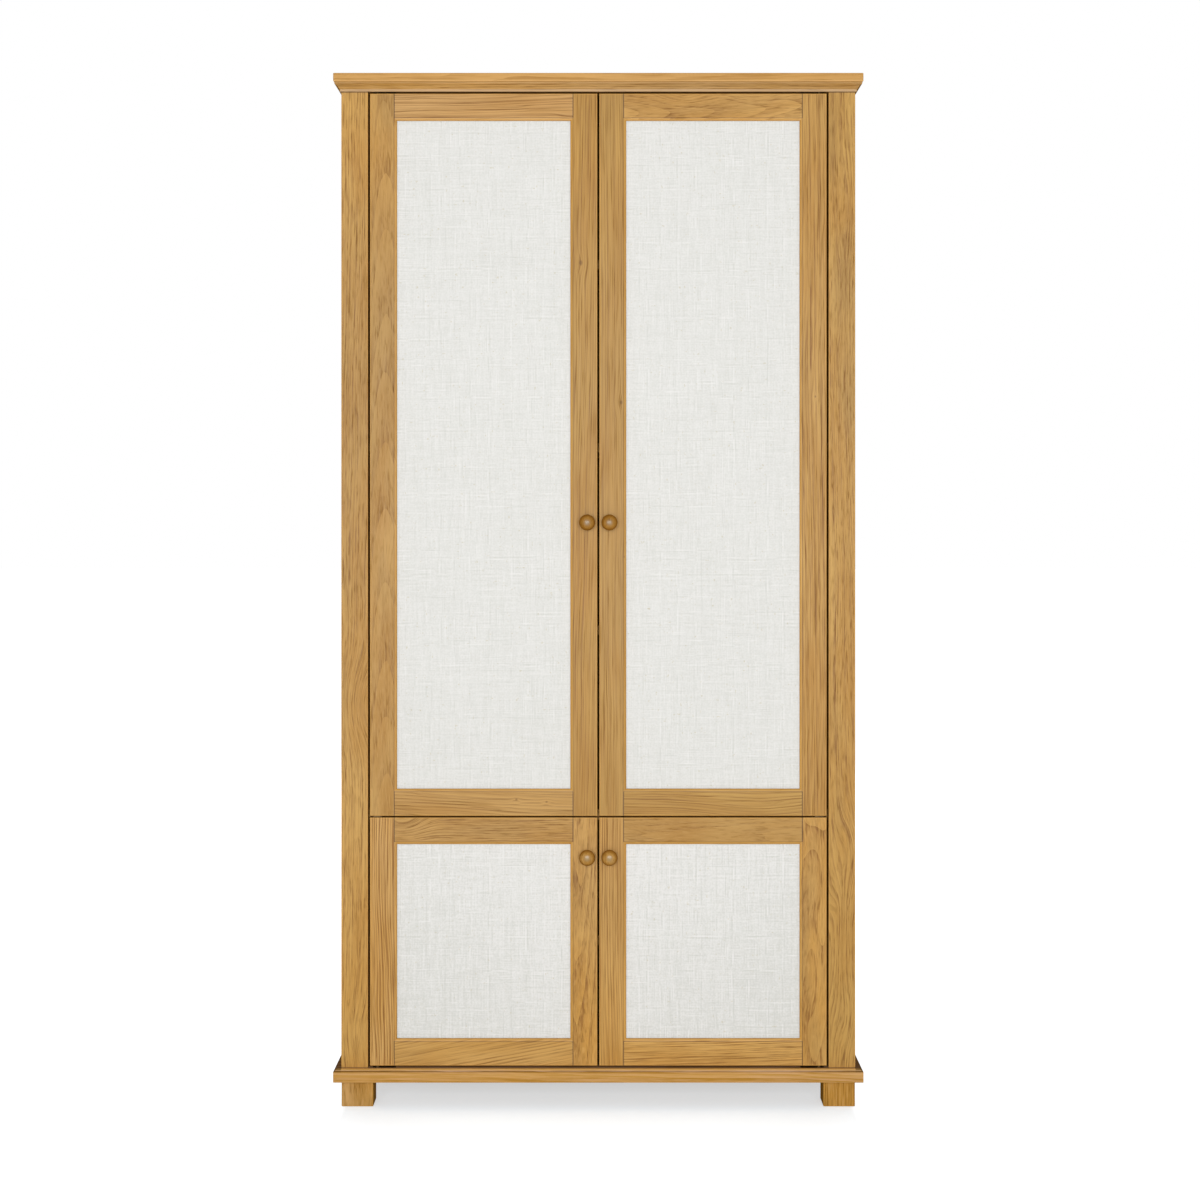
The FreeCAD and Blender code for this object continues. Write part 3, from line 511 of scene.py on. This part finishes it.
# Boards by name: what oak() is told about each
BOARDS = {
    "left_face_stile": dict(
        lie=UPRIGHT, cut="plain", strength=0.74, shade=0.95, blue=0.91,
        pales=((0.85, 0.16, 0.12), (0.34, 0.34, -0.12), (-0.70, 0.28, 0.09)),
        whorls=((-0.245, 0.022, 0.075, 0.034, 0.034), (-0.86, 0.006, 0.06, 0.026, 0.010)),
        lines=STILE_ENDS),
    "right_face_stile": dict(
        lie=UPRIGHT, cut="plain", strength=0.74, grey=0.5, shade=0.96, blue=0.85,
        pales=((-0.85, 0.2, -0.06),),
        whorls=((0.69, 0.014, 0.10, 0.012, 0.008), (0.54, -0.004, 0.08, 0.012, 0.008),
                (-0.53, 0.018, 0.09, 0.030, 0.020), (-0.63, -0.008, 0.05, 0.014, 0.010),
                (-0.72, -0.016, 0.10, 0.028, 0.018), (-0.83, 0.010, 0.06, 0.020, 0.012)),
        lines=STILE_ENDS),
    "face_top_rail": dict(lie=LEVEL, cut="straight", strength=0.5),
    "top_board": dict(lie=FLAT, cut="rift", strength=1.3, tone=-0.15, blue=1.27, painted_light_bands=TOP_PAINTED_HIGHLIGHT),
    "base_board": dict(
        lie=FLAT, cut="rift", strength=1.6, grey=0.6, shade=1.20, green=1.14, blue=2.9, gloss=0.0,
        pales=((0.46, 0.10, -0.14),), painted_light_bands=BASE_PAINTED_LIGHT, lines=BASE_STEP),
    "mid_shelf": dict(SHELF, cut="crown"),
    "upper_shelf_low": dict(SHELF, cut="crown"),
    "upper_shelf_middle": dict(SHELF, cut="rift"),
    "upper_shelf_high": dict(SHELF, cut="crown"),
    "lower_shelf": dict(SHELF, cut="rift"),
    "cornice_front": dict(
        lie=LEVEL, cut="straight", strength=0.7, green=1.04, blue=1.46,
        pales=((-0.32, 0.18, 0.10), (0.15, 0.14, -0.08), (0.42, 0.08, 0.06)), painted_light_bands=COVE_PAINTED_HIGHLIGHTS,
        lines=COVE_HEAD),
    "cornice_left": SIDE_COVE,
    "cornice_right": SIDE_COVE,
    "left_side_panel": SIDE_PANEL,
    "right_side_panel": SIDE_PANEL,
    "back_panel": dict(lie=UPRIGHT, cut="crown", strength=0.55, staves=0.154),
    "front_left_foot": dict(
        lie=UPRIGHT, cut="crown", strength=0.5, apex=-1, shade=1.17, green=1.07, blue=1.75, gloss=0.0,
        lines=FOOT_HEAD),
    "front_right_foot": dict(
        lie=UPRIGHT, cut="straight", strength=0.6, tone=0.25, shade=1.15, green=1.04, blue=1.5,
        gloss=0.0, lines=FOOT_HEAD),
    "back_left_foot": BACK_FOOT,
    "back_right_foot": BACK_FOOT,
    "upper_left_hinge_stile": dict(
        lie=UPRIGHT, cut="crown", strength=0.42, apex=1, bead=1, grey=0.6, shade=0.88, blue=0.97,
        pales=((0.60, 0.15, 0.12), (0.20, 0.22, -0.11))),
    "upper_left_meeting_stile": dict(
        lie=UPRIGHT, cut="fine", strength=0.66, lean=0.02, bead=-1, shade=0.85, green=0.98, blue=0.74,
        pales=((0.60, 0.13, 0.12), (0.12, 0.14, -0.07), (-0.35, 0.16, 0.05)),
        knots=((0.363, -0.006, 0.0045),)),
    "upper_right_hinge_stile": dict(
        lie=UPRIGHT, cut="rift", strength=0.92, bead=-1, shade=0.97, blue=0.92,
        knots=((0.11, 0.004, 0.002),)),
    "upper_right_meeting_stile": dict(
        lie=UPRIGHT, cut="fine", strength=0.54, bead=1, shade=0.82, green=0.98, blue=0.76,
        pales=((0.58, 0.14, 0.06), (0.15, 0.13, -0.05)),
        knots=((0.099, 0.016, 0.0035), (-0.193, 0.022, 0.0022))),
    "upper_left_top_rail": dict(
        lie=LEVEL, cut="lined", strength=0.8, bead=-1, tone=-0.12, shade=1.02, blue=1.25),
    "upper_right_top_rail": dict(
        lie=LEVEL, cut="crown", strength=0.62, lean=0.05, bead=-1, shade=1.02,
        whorls=((-0.055, 0.030, 0.045, 0.022, 0.020), (0.075, 0.034, 0.040, 0.020, 0.016))),
    "upper_left_bottom_rail": dict(
        lie=LEVEL, cut="lined", strength=0.75, lean=-0.03, bead=1, tone=-0.05, shade=0.92,
        knots=((0.062, 0.006, 0.0022), (0.119, 0.001, 0.0022))),
    "upper_right_bottom_rail": dict(
        lie=LEVEL, cut="lined", strength=0.9, bead=1, shade=0.87, blue=0.80,
        whorls=((0.08, -0.010, 0.12, 0.030, 0.012),)),
    "lower_left_hinge_stile": dict(
        lie=UPRIGHT, cut="lined", strength=1.8, bead=1, shade=1.15, green=1.03, blue=1.25),
    "lower_left_meeting_stile": dict(
        lie=UPRIGHT, cut="curly", strength=0.78, bead=-1, shade=1.04,
        pales=((0.10, 0.09, -0.12), (-0.19, 0.10, 0.12))),
    "lower_right_hinge_stile": dict(
        lie=UPRIGHT, cut="crown", strength=0.85, apex=-1, bead=-1, grey=0.5, shade=1.08, blue=0.97,
        whorls=((0.136, 0.000, 0.090, 0.022, 0.014), (-0.058, -0.003, 0.078, 0.014, 0.012))),
    "lower_right_meeting_stile": dict(lie=UPRIGHT, cut="fine", strength=0.9, bead=1, shade=1.09),
    "lower_left_top_rail": dict(
        lie=LEVEL, cut="plain", strength=0.78, bead=-1, shade=0.91,
        whorls=((-0.155, 0.020, 0.042, 0.035, 0.028),)),
    "lower_right_top_rail": dict(lie=LEVEL, cut="curly", strength=0.4, bead=-1, shade=0.855, blue=0.95),
    "lower_left_bottom_rail": dict(lie=LEVEL, cut="rift", strength=0.55, lean=0.17, bead=1, shade=1.05),
    "lower_right_bottom_rail": dict(
        lie=LEVEL, cut="straight", strength=0.9, lean=0.03, bead=1, shade=1.11),
}


for board, grain in BOARDS.items():
    low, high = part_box(board)
    wear(board, oak(board, low=low, high=high, **grain))


# Knobs: turned from darker oak and lacquered to a soft shine; the crown is greyed to tint its highlight
# (painted sheen) and the rim is darkened (painted shade)
KNOB_PALE = {"upper": (174, 126, 58), "lower": (197, 152, 85)}
KNOB_DEEP = {"upper": (158, 111, 46), "lower": (184, 135, 63)}
KNOB_CROWN_SHEEN = {"upper": (126, 104, 62), "lower": (149, 128, 82)}
KNOB_GRAIN = tint(118, 74, 8)
KNOB_RIM_SHADE = tint(132, 82, 14)
KNOB_NECK = tint(92, 56, 18)
KNOB_RING = 0.0026


def turned_oak(door):
    row = door.split("_")[0]
    low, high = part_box(f"{door}_knob")
    chance = random.Random(door)
    finish = Finish(f"turned_oak_{door}", Specular_IOR_Level=0.0, Coat_IOR=1.68, Coat_Roughness=0.27)
    spot = finish.place()
    x, y, z = (spot[axis] - middle for axis, middle in zip("XYZ", (low + high) / 2))
    shift = chance.uniform(0, 20)
    waver = finish.noise(x + shift, y + shift, z, (90, 90, 40), detail=2.0)
    ring = ((x + 0.5 * y) / KNOB_RING + 1.6 * waver + shift).part()
    early = (1 - ring) ** 2.0
    fibre = finish.noise(x + shift, y, z, (900, 900, 90), detail=2.0)
    rim = (x * x + z * z).root()
    collar = (spot["Y"] - high.y) * -1
    colour = finish.mix(waver.between(0.35, 0.65), tint(*KNOB_PALE[row]), tint(*KNOB_DEEP[row]))
    colour = finish.mix(0.45 * early + 0.3 * fibre.between(0.45, 0.7), colour, KNOB_GRAIN)
    # painted sheen: the crown is greyed so that its highlight looks grey
    colour = finish.mix(0.6 * (1 - rim.between(0.002, 0.008)), colour, tint(*KNOB_CROWN_SHEEN[row]))
    # painted shade: the rim is darkened
    colour = finish.mix(0.7 * rim.between(0.0085, 0.0145), colour, KNOB_RIM_SHADE)
    colour = finish.mix(0.6 * (1 - collar.between(0.001, 0.007)), colour, KNOB_NECK)
    finish.feed(Base_Color=colour, Roughness=0.34 + 0.15 * fibre)
    finish.feed(Coat_Weight=0.6 * (1 - rim.between(0.004, 0.0105)))
    finish.relief(fibre, 0.05 * MILLIMETRE, 0.4)
    return finish.material


for door in DOORS:
    wear(f"{door}_knob", turned_oak(door))


# Linen: a plain weave of uneven threads, off-white with a little flax in it
LINEN_PALE = tint(242, 241, 238)
LINEN_SHADE = tint(220, 220, 214)
LINEN_FLAX = tint(208, 201, 176)
LINEN_MIDDLE = {"upper": 1.23, "lower": 0.31}
THREAD_PITCH = 0.0008
UNEVEN_THREADS = 280
CLOTH_CELL = 0.006
CLOTH_THICKNESS = 0.0006


def linen_cloth(doors, unevenness, painted_dimming):
    """Cloth with threads uneven by an amount, and painted shade by another: dimmer lower down and further
    out.
    """
    finish = Finish(f"{doors}_linen_cloth", Roughness=0.9, Sheen_Weight=0.1, Specular_IOR_Level=0.15)
    spot = finish.place()
    x, y, z = spot["X"], spot["Y"], spot["Z"]

    def noise(across, along, wide, high):
        return finish.noise(across, y, along, (wide, 1, high), detail=1.0)

    turn = 2 * math.pi / THREAD_PITCH
    weave = 0.5 + 0.25 * ((x * turn).math("SINE") + (z * turn).math("SINE"))
    sway = noise(x, z, 10, 10)
    warp = finish.line_noise(x * UNEVEN_THREADS + 1.5 * sway) - 0.5
    weft = finish.line_noise(z * UNEVEN_THREADS + 1.5 * sway) - 0.5
    warp_stretch = noise(x, z, 70, 26) - 0.5
    weft_stretch = noise(x + 4.0, z, 26, 70) - 0.5
    crossing = noise(x + 2.0, z, UNEVEN_THREADS, UNEVEN_THREADS) - 0.5
    bundles = noise(x, z + 6.0, 150, 14) + 0.7 * noise(x, z, 14, 150)
    threads = 7.0 * warp * warp_stretch + 6.0 * weft * weft_stretch + 0.8 * crossing + 0.45 * (bundles - 0.85)
    cloud = finish.noise(x + 9.0, y, z, (9, 1, 9), detail=2.0)
    # painted shade: the cloth is darker lower down and further from the middle
    painted_falloff = painted_dimming * (abs(x) - 0.22) - painted_dimming * (z - LINEN_MIDDLE[doors])
    shade = 0.5 + unevenness * threads + 0.08 * (cloud - 0.5) + 0.15 * (weave - 0.5) + painted_falloff
    slub = noise(x + 7.0, z, 150, 230).between(0.70, 0.80) + noise(x + 11.0, z, 260, 110).between(0.71, 0.80)
    cloth = finish.mix(shade.between(0.0, 1.0), LINEN_PALE, LINEN_SHADE)
    finish.feed(Base_Color=finish.mix(0.55 * slub, cloth, LINEN_FLAX))
    finish.relief(weave + threads, 0.15 * MILLIMETRE, 0.5)
    return finish.material


def linen_sheet(door, material):
    low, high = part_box(f"{door}_linen")
    width, height = high.x - low.x, high.z - low.z
    bpy.ops.object.select_all(action="DESELECT")
    bpy.ops.mesh.primitive_grid_add(
        x_subdivisions=round(width / CLOTH_CELL), y_subdivisions=round(height / CLOTH_CELL), size=1.0)
    sheet = bpy.context.object
    sheet.name = f"{door}_linen_sheet"
    sheet.rotation_euler.x = math.pi / 2
    sheet.scale = (width, height, 1.0)
    sheet.location = ((low.x + high.x) / 2, high.y, (low.z + high.z) / 2)
    bpy.ops.object.transform_apply(location=True, rotation=True, scale=True)
    thick = sheet.modifiers.new("cloth", "SOLIDIFY")
    thick.thickness = CLOTH_THICKNESS
    thick.offset = 1.0
    bpy.ops.object.modifier_apply(modifier=thick.name)
    sheet.data.materials.append(material)
    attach(sheet, f"{door}_door")
    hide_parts(f"{door}_linen")


upper_cloth = linen_cloth("upper", 0.68, 0.02)
lower_cloth = linen_cloth("lower", 1.0, 0.42)
for door in DOORS:
    linen_sheet(door, upper_cloth if door.startswith("upper") else lower_cloth)


# Board, steel and plastic behind the doors
def plain_finish(name, tones, cloud, grain, detail, roughness, speck=None, relief=None, **constants):
    """Two tones in clouds, with a fine grain in the shine and, where given, in the colour and relief."""
    finish = Finish(name, **constants)
    spot = finish.place()
    point = spot["X"], spot["Y"], spot["Z"]
    fine = finish.noise(*point, grain, detail=detail)
    clouds = finish.noise(*point, (cloud, cloud, cloud), detail=2.0)
    colour = finish.mix(clouds.between(0.3, 0.7), *(tint(*tone) for tone in tones))
    if speck:
        colour = finish.mix(fine.between(0.55, 0.75), colour, tint(*speck))
    smooth, spread = roughness
    finish.feed(Base_Color=colour, Roughness=smooth + spread * fine)
    if relief:
        depth, strength = relief
        finish.relief(fine, depth * MILLIMETRE, strength)
    return finish.material


raw_board = plain_finish(
    "raw_board", ((172, 144, 108), (165, 136, 100)), cloud=12, grain=(700, 700, 700), detail=3.0,
    roughness=(0.75, 0.15), speck=(120, 94, 64), Specular_IOR_Level=0.3)
steel = plain_finish(
    "plated_steel", ((88, 70, 45), (70, 54, 34)), cloud=90, grain=(2200, 2200, 160), detail=2.0,
    roughness=(0.34, 0.2), relief=(0.02, 0.3), Metallic=1.0)
plastic = plain_finish(
    "catch_plastic", ((92, 66, 44), (80, 56, 36)), cloud=60, grain=(2600, 2600, 2600), detail=1.0,
    roughness=(0.48, 0.15), relief=(0.03, 0.4), Specular_IOR_Level=0.4)
for door in DOORS:
    wear(f"{door}_panel_board", raw_board)
    wear(f"{door}_fittings", steel)
for node in ("shelf_pegs", "top_pivots", "mid_pivots", "bottom_pivots", "foot_bolts", "back_screws"):
    wear(node, steel)
wear("magnetic_catches", plastic)


def seen_white(tree, light):
    """1 where the camera, a reflection or clear glass looks straight at it, and light elsewhere."""
    path = tree.nodes.new("ShaderNodeLightPath")
    seen = Socket(tree, path.outputs["Is Camera Ray"])
    for name in ("Is Glossy Ray", "Is Transmission Ray"):
        seen = seen.math("MAXIMUM", Socket(tree, path.outputs[name]))
    return seen + (1 - seen) * light


def room():
    world = bpy.data.worlds.new("studio")
    bpy.context.scene.world = world
    world.use_nodes = True
    background = world.node_tree.nodes["Background"]
    background.inputs["Color"].default_value = (1, 1, 1, 1)
    join(world.node_tree, background.inputs["Strength"], seen_white(world.node_tree, WORLD_LIGHT))

    bpy.ops.object.select_all(action="DESELECT")
    bpy.ops.mesh.primitive_plane_add(size=2 * FLOOR_HALF)
    floor = bpy.context.object
    floor.name = "studio_floor"
    finish = Finish("pale_floor", Roughness=1.0, Specular_IOR_Level=0.0, Emission_Strength=1.0)
    spot = finish.place()
    # painted light on the floor: the glow is full beside the press and hides the shadow there, and the floor
    # is bluer close by to cancel the oak's warm bounced light
    aside = abs(spot["X"]) - cad_high.x
    away = aside.math("MAXIMUM", abs(spot["Y"]) - cad_high.y)
    finish.feed(Base_Color=finish.mix(away.between(-0.1, 0.3), NEAR_FLOOR, FAR_FLOOR))
    glow = NEAR_GLOW + GLOW_RISE * away.between(-0.07, 0.31)
    glow = glow + (FAR_GLOW - NEAR_GLOW - GLOW_RISE) * away.between(0.2, 2.5)
    glow = glow.math("MAXIMUM", FAR_GLOW * aside.between(-0.06, 0.0))
    finish.feed(Emission_Color=finish.mix(seen_white(finish.tree, 0.0) * glow, [0, 0, 0, 1], [1, 1, 1, 1]))
    floor.data.materials.append(finish.material)
    floor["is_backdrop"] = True


def lamp(name, place, aim, size, power):
    light = bpy.data.lights.new(name, "AREA")
    light.shape = "RECTANGLE"
    light.size, light.size_y = size
    light.energy = power
    item = bpy.data.objects.new(name, light)
    bpy.context.scene.collection.objects.link(item)
    item.location = place
    item.rotation_euler = (Vector(aim) - Vector(place)).to_track_quat("-Z", "Y").to_euler()


def camera():
    eye = bpy.data.cameras.new("camera")
    eye.sensor_width = SENSOR
    eye.lens = LENS
    eye.shift_x = (PHOTO_SIDE / 2 - VANISHING_POINT[0]) / PHOTO_SIDE
    eye.shift_y = (VANISHING_POINT[1] - PHOTO_SIDE / 2) / PHOTO_SIDE
    eye.clip_end = FAR_CLIP
    item = bpy.data.objects.new("camera", eye)
    bpy.context.scene.collection.objects.link(item)
    item.location = (0, DOOR_FACE - CAMERA_DISTANCE, CAMERA_HEIGHT)
    item.rotation_euler = (math.pi / 2, 0, 0)
    bpy.context.scene.camera = item


room()
for setting in LAMPS:
    lamp(*setting)
camera()
bpy.context.scene.view_settings.view_transform = "Standard"

low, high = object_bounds()
